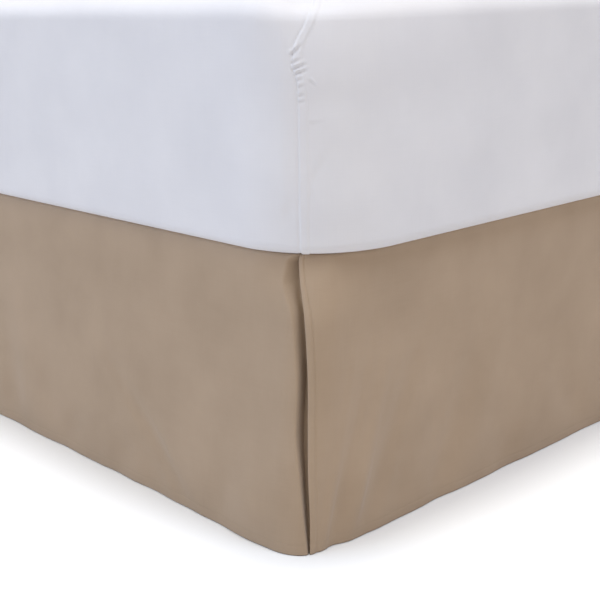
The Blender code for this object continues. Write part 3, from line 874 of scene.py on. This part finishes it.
UNDER_SHARES = (0.06, 0.14, 0.29, 0.50, 0.72, 0.90, 1.0)
FINE_TO = 0.540  # down to this height the rings are close together, for the corner seams
SPREAD = 0.16  # so near a corner the columns of a straight side are closer together:
SPREAD_STEP = 0.02
STRAIGHT_STEP = 0.07

# A place is the distance from a corner's middle, minus on the bed's foot side, and a fade is
# where it starts and over how far. High on a corner the form leans in above a line that
# climbs away from it, and below its top edge it has a soft upright ridge.
LEAN_CURVE = 1.25
LEAN_LINE = 0.570
LEAN_CLIMB = 0.17
LEAN_FOOT_FADE = (-0.075, 0.060)
LEAN_SIDE_FADE = (0.15, 0.25)
LEAN_TOP_FADE = (-0.06, 0.10)
RIDGE_PLACE = -0.038
RIDGE_HEIGHT = 0.0055
RIDGE_HALF_WIDTH = 0.075
RIDGE_ROUND = 0.06
RIDGE_POWER = 1.5
RIDGE_LOW_FADE = (0.395, 0.09)
RIDGE_TOP_FADE = (0.0, 0.05)

# Slight ripples, in the sides away from the corners and all over the top.
SIDE_RIPPLE = 0.00045
RIPPLE_HIGH_FADE = (0.0, 0.05)
RIPPLE_LOW_FADE = (0.20, 0.06)
RIPPLE_CORNER_FADE = (0.10, 0.20)
TOP_RIPPLE = 0.0009
TOP_RIPPLE_FADE = (-0.02, 0.02)

# Broad hollows and swellings in the sides: the half sizes are across and up.
Slack = namedtuple("Slack", "place height half_width half_height rise")
SLACKS = (
    Slack(place=-0.033, height=0.437, half_width=0.014, half_height=0.018, rise=-0.0014),
    Slack(place=0.012, height=0.568, half_width=0.040, half_height=0.030, rise=-0.0014),
    Slack(place=0.075, height=0.558, half_width=0.085, half_height=0.045, rise=-0.0010),
    Slack(place=0.110, height=0.498, half_width=0.090, half_height=0.060, rise=0.0012),
    Slack(place=0.030, height=0.442, half_width=0.080, half_height=0.056, rise=0.0030),
    Slack(place=-0.160, height=0.468, half_width=0.110, half_height=0.040, rise=-0.0010),
    Slack(place=-0.420, height=0.453, half_width=0.140, half_height=0.030, rise=-0.0008),
    Slack(place=-0.300, height=0.538, half_width=0.160, half_height=0.060, rise=0.0010),
    Slack(place=0.340, height=0.518, half_width=0.160, half_height=0.060, rise=0.0010),
)

form_low, form_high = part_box("fitted_sheet")
corner_x = form_high[0] - CORNER_RADIUS
corner_y = form_high[1] - CORNER_RADIUS
QUARTER = CORNER_RADIUS * math.pi / 2


def even(start, stop, step):
    """Even values from a start to just before a stop."""
    count = max(1, round(abs(stop - start) / step))
    return start + (stop - start) * np.arange(count) / count


def fade(value, start, reach):
    """0 as far as the start, then softly up to 1 over the reach."""
    return ease((value - start) / reach)


def form_columns(near_angles, other_angles):
    """Round the mattress from the left foot corner: the arc's centre, the way out, the
    distance from the nearest corner's middle, plus towards the bed's side, and which corner."""
    rows = []
    corners = (
        (-corner_x, -corner_y, 180, -1, other_angles),
        (corner_x, -corner_y, 270, 1, near_angles),
        (corner_x, corner_y, 0, -1, other_angles),
        (-corner_x, corner_y, 90, 1, other_angles),
    )
    for number, (x, y, start, toward_side, angles) in enumerate(corners):
        for angle in angles:
            turn = math.radians(start + angle)
            place = toward_side * (CORNER_RADIUS * math.radians(angle) - QUARTER / 2)
            rows.append((x, y, math.cos(turn), math.sin(turn), place, number))
        next_x, next_y, *_ = corners[(number + 1) % len(corners)]
        length = math.hypot(next_x - x, next_y - y)
        turn = math.radians(start + 90)
        far = length - SPREAD
        ends = even(0, SPREAD, SPREAD_STEP), even(far, length, SPREAD_STEP)
        for gone in (*ends[0], *even(SPREAD, far, STRAIGHT_STEP), *ends[1]):
            near_next = gone > length / 2
            distance = (length - gone if near_next else gone) + QUARTER / 2
            sign = -corners[(number + 1) % 4][3] if near_next else toward_side
            corner = (number + 1) % 4 if near_next else number
            place = (x + (next_x - x) * gone / length, y + (next_y - y) * gone / length)
            rows.append((*place, math.cos(turn), math.sin(turn), sign * distance, corner))
    return np.array(rows)


def form_profile(place, step, coarse_step):
    """Down the side at a place: (inset from the wall, height, distance down from the top edge)."""
    shoulder = MATTRESS_TOP - CROWN - TOP_EDGE
    edge = BOTTOM_EDGE + (CORNER_BOTTOM_EDGE - BOTTOM_EDGE) * swell(place / CORNER_EDGE_REACH)
    foot = form_low[2] + edge
    rows = []
    for inset in CROWN_INSETS:
        rise = (CROWN_INSETS[0] - inset) / (CROWN_INSETS[0] - TOP_EDGE)
        rows.append((inset, MATTRESS_TOP - CROWN * rise**2, TOP_EDGE - inset))
    for turn in np.radians(np.linspace(0, 90, TOP_EDGE_ROWS)):
        flat = TOP_EDGE * (1 - math.sin(turn))
        rows.append((flat, shoulder + TOP_EDGE * math.cos(turn), TOP_EDGE * turn))
    gone = TOP_EDGE * math.pi / 2
    fine = even(shoulder, FINE_TO, step)
    coarse = FINE_TO + (foot - FINE_TO) * even(0, 1, coarse_step / (FINE_TO - form_low[2]))
    for height in [*fine[1:], *coarse]:
        rows.append((0.0, height, gone + shoulder - height))
    gone += shoulder - foot
    for turn in np.radians(np.linspace(0, 90, BOTTOM_EDGE_ROWS)):
        flat = edge * (1 - math.cos(turn))
        rows.append((flat, foot - edge * math.sin(turn), gone + edge * turn))
    gone += edge * math.pi / 2
    for share in UNDER_SHARES:
        inset = edge + (UNDERSIDE - edge) * share
        rows.append((inset, form_low[2], gone + inset - edge))
    return np.array(rows)


def corner_lean(place, down, height):
    """How far the corner's upper part leans in, and its soft upright ridge."""
    line = LEAN_LINE + LEAN_CLIMB * np.maximum(place, 0.0)
    aside = fade(place, *LEAN_FOOT_FADE) * (1 - fade(place, *LEAN_SIDE_FADE))
    lean = LEAN_CURVE * np.maximum(height - line, 0) ** 2 * aside * fade(down, *LEAN_TOP_FADE)
    off = np.hypot((place - RIDGE_PLACE) / RIDGE_HALF_WIDTH, RIDGE_ROUND) - RIDGE_ROUND
    upright = fade(height, *RIDGE_LOW_FADE) * fade(down, *RIDGE_TOP_FADE)
    return RIDGE_HEIGHT * np.clip(1 - off, 0, 1) ** RIDGE_POWER * upright - lean


def form_relief(points, place, corner, down):
    """Everything soft that lifts the covered mattress off its plain shape."""
    height = points[..., 2]
    total = corner_lean(place, down, height)
    for row in SLACKS:
        aside = (place - row.place) / row.half_width
        total += row.rise * swell(np.hypot(aside, (height - row.height) / row.half_height))
    ripple = np.sin(place * 19.0 + corner * 2.1) * np.sin(height * 37.0 + place * 6.0 + corner)
    side = fade(down, *RIPPLE_HIGH_FADE) * (1 - fade(down, *RIPPLE_LOW_FADE))
    total += SIDE_RIPPLE * ripple * side * fade(np.abs(place), *RIPPLE_CORNER_FADE)
    on_top = 1 - fade(down, *TOP_RIPPLE_FADE)
    x, y = points[..., 0], points[..., 1]
    return total + on_top * TOP_RIPPLE * np.sin(x * 7.0 + np.sin(y * 4.0)) * np.sin(y * 5.0 + x * 2.0)


def form_grid(columns, step, coarse_step):
    """The plain form's grid of points from its top's middle down, and how far down each is."""
    profile = np.stack([form_profile(place, step, coarse_step) for place in columns[:, 4]], axis=1)
    flat = columns[None, :, :2] + columns[None, :, 2:4] * (CORNER_RADIUS - profile[..., :1])
    rows = np.concatenate([flat, profile[..., 1:2]], axis=-1)
    top = np.array([rows[0] * (share, share, 1) for share in TOP_SHARES])
    top_down = profile[:1, :, 2] - TOP_REACH * (1 - np.array(TOP_SHARES))[:, None]
    return np.concatenate([top, rows]), np.concatenate([top_down, profile[..., 2]])


def closed_form_mesh(name, points):
    """A closed mesh from a grid that runs from a flat face on top to a flat one underneath."""
    rows, count = points.shape[:2]
    index = np.arange(rows * count).reshape(rows, count)
    index = np.concatenate([index, index[:, :1]], axis=1)
    listed = grid_faces(index).tolist()
    listed += [index[0, :-1].tolist(), index[-1, -2::-1].tolist()]
    mesh = bpy.data.meshes.new(name)
    mesh.from_pydata(points.reshape(-1, 3).tolist(), [], listed)
    return mesh


cover_columns = form_columns(near_angles=even(0, 90, 2.0), other_angles=even(0, 90, 5.0))
cover_places, cover_corners = cover_columns[None, :, 4], cover_columns[None, :, 5]
cover_grid, cover_down = form_grid(cover_columns, step=0.006, coarse_step=0.010)
cover_in = COVER_UNDER + (COVER_UNDER_SEAM - COVER_UNDER) * swell(cover_places / COVER_SEAM_REACH)
cover_lift = form_relief(cover_grid, cover_places, cover_corners, cover_down) - cover_in
cover_grid = cover_grid + outward_ways(cover_grid, closed=True) * cover_lift[..., None]
MATTRESS_COVER = woven_material(
    "mattress_cover",
    COVER_DARK,
    COVER_LIGHT,
    COVER_THREADS,
    depth=0.0008,
    roughness=0.9,
    sheen=0.15,
    place="solid",
)
cover_mesh = closed_form_mesh("mattress_in_cover", cover_grid)
mattress = link_piece("mattress_in_cover", cover_mesh, MATTRESS_COVER)
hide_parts("mattress")

# ---- Fitted sheet ----
# White cotton percale, boxed to the mattress: each corner is one upright seam, its
# allowance pressed to one side and puckered by the elastic that is turned in underneath.

SHEET_DARK = (0.817, 0.799, 0.824)
SHEET_LIGHT = (0.881, 0.860, 0.880)
SHEET_THREADS = 3200
SHEET_CLOTH = 0.0008
SEAM_ALLOWANCE = 0.0100
SEAM_TOP_FADE = (-0.045, 0.030)
SEAM_GROOVE = 0.0007
SEAM_GROOVE_HALF_WIDTH = 0.0013
ALLOWANCE_RISE = 0.0009
ALLOWANCE_NEAR_FADE = (0.0004, 0.0016)
ALLOWANCE_FAR_FADE = (SEAM_ALLOWANCE, 0.0024)
PUCKER_START_FADE = (-0.15, 0.15)  # in the pucker's own lengths
PUCKER_TAPER = 1.4  # full up to 1 - 1 / 1.4 of its length, and gone at its end
PUCKER_RIDGE = 0.6  # the ridge beside its groove: a share of it, so many widths off and wide
PUCKER_RIDGE_OFF = 2.1
PUCKER_RIDGE_WIDTH = 1.2

# The seam's place at distances down the sheet from where the top edge starts to turn over.
Seam = namedtuple("Seam", "down place")
SEAM = (
    Seam(down=-0.060, place=0.0000),
    Seam(down=0.000, place=-0.0030),
    Seam(down=0.030, place=-0.0070),
    Seam(down=0.050, place=-0.0130),
    Seam(down=0.062, place=-0.0202),
    Seam(down=0.076, place=-0.0257),
    Seam(down=0.097, place=-0.0268),
    Seam(down=0.105, place=-0.0240),
    Seam(down=0.118, place=-0.0210),
    Seam(down=0.150, place=-0.0210),
    Seam(down=0.306, place=-0.0228),
)

# Puckers that run off the seam, as (place, height) at both ends.
Pucker = namedtuple("Pucker", "place height end_place end_height depth width")
PUCKERS = (
    Pucker(place=-0.0258, height=0.6205, end_place=-0.0123, end_height=0.6341, depth=0.0017, width=0.0016),
    Pucker(place=-0.0256, height=0.6110, end_place=-0.0138, end_height=0.6165, depth=0.0012, width=0.0015),
    Pucker(place=-0.0245, height=0.6040, end_place=-0.0060, end_height=0.6110, depth=0.0018, width=0.0018),
    Pucker(place=-0.0215, height=0.5985, end_place=-0.0048, end_height=0.6040, depth=0.0018, width=0.0017),
    Pucker(place=-0.0068, height=0.5903, end_place=0.0015, end_height=0.5822, depth=0.0010, width=0.0014),
    Pucker(place=-0.0200, height=0.5915, end_place=-0.0118, end_height=0.5950, depth=0.0011, width=0.0014),
    Pucker(place=-0.0185, height=0.5835, end_place=-0.0105, end_height=0.5868, depth=0.0010, width=0.0014),
    Pucker(place=-0.0185, height=0.5734, end_place=-0.0105, end_height=0.5762, depth=0.0011, width=0.0014),
    Pucker(place=-0.0185, height=0.5665, end_place=-0.0095, end_height=0.5686, depth=0.0010, width=0.0014),
    Pucker(place=-0.0060, height=0.5405, end_place=0.0130, end_height=0.5420, depth=0.0005, width=0.0026),
    Pucker(place=-0.0170, height=0.5308, end_place=-0.0073, end_height=0.5319, depth=0.0005, width=0.0014),
    Pucker(place=-0.0060, height=0.4750, end_place=0.0290, end_height=0.5290, depth=0.0008, width=0.0040),
    Pucker(place=-0.0255, height=0.5062, end_place=-0.0190, end_height=0.4960, depth=0.0009, width=0.0015),
    Pucker(place=-0.0185, height=0.4614, end_place=-0.0086, end_height=0.4626, depth=0.0007, width=0.0015),
    Pucker(place=-0.0080, height=0.4598, end_place=0.0000, end_height=0.4655, depth=0.0012, width=0.0017),
    Pucker(place=-0.0170, height=0.4350, end_place=-0.0240, end_height=0.4326, depth=0.0008, width=0.0018),
)


def seam_relief(place, down, height):
    """The corner seam: its groove, the allowance pressed to the side, and its puckers."""
    past = place - through([row.down for row in SEAM], [row.place for row in SEAM], down)
    groove = SEAM_GROOVE * np.exp(-((past / SEAM_GROOVE_HALF_WIDTH) ** 2))
    allowance = fade(past, *ALLOWANCE_NEAR_FADE) * (1 - fade(past, *ALLOWANCE_FAR_FADE))
    total = (ALLOWANCE_RISE * allowance - groove) * fade(down, *SEAM_TOP_FADE)
    for row in PUCKERS:
        start = np.array([row.place, row.height])
        end = np.array([row.end_place, row.end_height])
        length = np.linalg.norm(end - start)
        way = (end - start) / length
        off = np.stack(np.broadcast_arrays(place - start[0], height - start[1]), axis=-1)
        share = off @ way / length
        aside = off @ np.array([-way[1], way[0]]) / row.width
        held = fade(share, *PUCKER_START_FADE) * ease((1 - share) * PUCKER_TAPER)
        ridge = PUCKER_RIDGE * np.exp(-(((aside - PUCKER_RIDGE_OFF) / PUCKER_RIDGE_WIDTH) ** 2))
        total = total + row.depth * held * (ridge - np.exp(-(aside**2)))
    return total


# Round a corner the columns, in degrees, are closest together by the seam.
near_turns = np.concatenate([even(0, 24, 2.0), even(24, 54, 0.5), even(54, 90, 2.4)])
other_turns = np.concatenate([even(0, 30, 5.0), even(30, 60, 1.0), even(60, 90, 5.0)])
sheet_columns = form_columns(near_turns, other_turns)
sheet_around, sheet_corners = sheet_columns[None, :, 4], sheet_columns[None, :, 5]
sheet_grid, sheet_down = form_grid(sheet_columns, step=0.0016, coarse_step=0.0085)
sheet_lift = form_relief(sheet_grid, sheet_around, sheet_corners, sheet_down)
sheet_lift = sheet_lift + seam_relief(sheet_around, sheet_down, sheet_grid[..., 2])
sheet_grid = sheet_grid + outward_ways(sheet_grid, closed=True) * sheet_lift[..., None]
side_places = np.stack(np.broadcast_arrays(sheet_around, sheet_down), axis=-1)
sheet_places = np.where(sheet_down[..., None] < 0, sheet_grid[..., :2], side_places)
PERCALE = woven_material(
    "sheet_cloth", SHEET_DARK, SHEET_LIGHT, SHEET_THREADS, depth=0.00012, roughness=0.80, sheen=0.15
)
fitted_sheet = link_piece(
    "fitted_sheet_cloth",
    cloth_mesh("fitted_sheet_cloth", sheet_grid, SHEET_CLOTH, sheet_places, closed=True, filled=True),
    PERCALE,
)
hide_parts("fitted_sheet")

# ---- Studio ----
# A white floor swept up at its far edges, a faint warm surround that shows as white, and
# four soft lights: one overhead, a low and a high one on the foot side, a high side one.

FLOOR_FLAT = 9.0
FLOOR_REACH = 14.0
FLOOR_RISE = 2.4
FLOOR_SEEN = (0.97, 0.97, 0.97)
FLOOR_BOUNCE = (0.65, 0.65, 0.65)  # what it throws back at the bed, as if flagged off
SURROUND = 0.40
SURROUND_COLOUR = (1.0, 0.88, 0.79)

# Each light comes from a bearing, in degrees from the bed's foot towards its right side,
# at a height in degrees over the floor, and is so many degrees wide. Its lamp stands clear
# of the bed, at a distance that doesn't change its light.
LAMP_DISTANCE = 6.0
SoftLight = namedtuple("SoftLight", "name bearing rise width strength colour")
SOFT_LIGHTS = (
    SoftLight("top_light", 215, 84.5, 10, 1.18, (1.00, 1.00, 1.00)),
    SoftLight("foot_light", -35, 15, 40, 1.07, (0.34, 0.59, 1.00)),
    SoftLight("high_foot_light", 0, 65, 25, 0.58, (0.99, 1.00, 0.89)),
    SoftLight("high_side_light", 100, 65, 25, 1.14, (0.73, 0.84, 1.00)),
)

floor_lines = (-FLOOR_REACH, -FLOOR_FLAT, FLOOR_FLAT, FLOOR_REACH)
floor_points = [
    (x, y, FLOOR_RISE if max(abs(x), abs(y)) > FLOOR_FLAT else 0.0) for y in floor_lines for x in floor_lines
]
floor_index = np.arange(len(floor_points)).reshape(len(floor_lines), len(floor_lines))
floor_mesh = bpy.data.meshes.new("floor")
floor_mesh.from_pydata(floor_points, [], grid_faces(floor_index.T).tolist())
floor_paint, floor_tree, floor_shader = new_material("studio_floor")
seen = add_node(floor_tree, "ShaderNodeLightPath").outputs["Is Camera Ray"]
tint(floor_tree, seen, FLOOR_BOUNCE, FLOOR_SEEN, floor_shader)
floor_shader.inputs["Roughness"].default_value = 1.0
floor_shader.inputs["Specular IOR Level"].default_value = 0.0
floor_mesh.materials.append(floor_paint)
floor = bpy.data.objects.new("floor", floor_mesh)
bpy.context.scene.collection.objects.link(floor)

world = bpy.data.worlds.new("studio")
world.use_nodes = True
world_tree = world.node_tree
surround = world_tree.nodes["Background"]
surround.inputs["Color"].default_value = (*SURROUND_COLOUR, 1)
surround.inputs["Strength"].default_value = SURROUND
white_wall = add_node(world_tree, "ShaderNodeBackground")
white_wall.inputs["Color"].default_value = (1, 1, 1, 1)
shown = add_node(world_tree, "ShaderNodeMixShader")
seen = add_node(world_tree, "ShaderNodeLightPath").outputs["Is Camera Ray"]
world_tree.links.new(seen, shown.inputs["Fac"])
world_tree.links.new(surround.outputs["Background"], shown.inputs[1])
world_tree.links.new(white_wall.outputs["Background"], shown.inputs[2])
world_tree.links.new(shown.outputs["Shader"], world_tree.nodes["World Output"].inputs["Surface"])
bpy.context.scene.world = world
bpy.context.scene.view_settings.view_transform = "Standard"

for light in SOFT_LIGHTS:
    lamp = bpy.data.lights.new(light.name, "SUN")
    lamp.energy = light.strength
    lamp.angle = math.radians(light.width)
    lamp.color = light.colour
    holder = bpy.data.objects.new(light.name, lamp)
    bearing = math.radians(light.bearing)
    rise = math.radians(light.rise)
    toward = Vector(
        (math.cos(rise) * math.sin(bearing), -math.cos(rise) * math.cos(bearing), math.sin(rise))
    )
    holder.rotation_euler = toward.to_track_quat("Z", "Y").to_euler()
    holder.location = toward * LAMP_DISTANCE
    bpy.context.scene.collection.objects.link(holder)
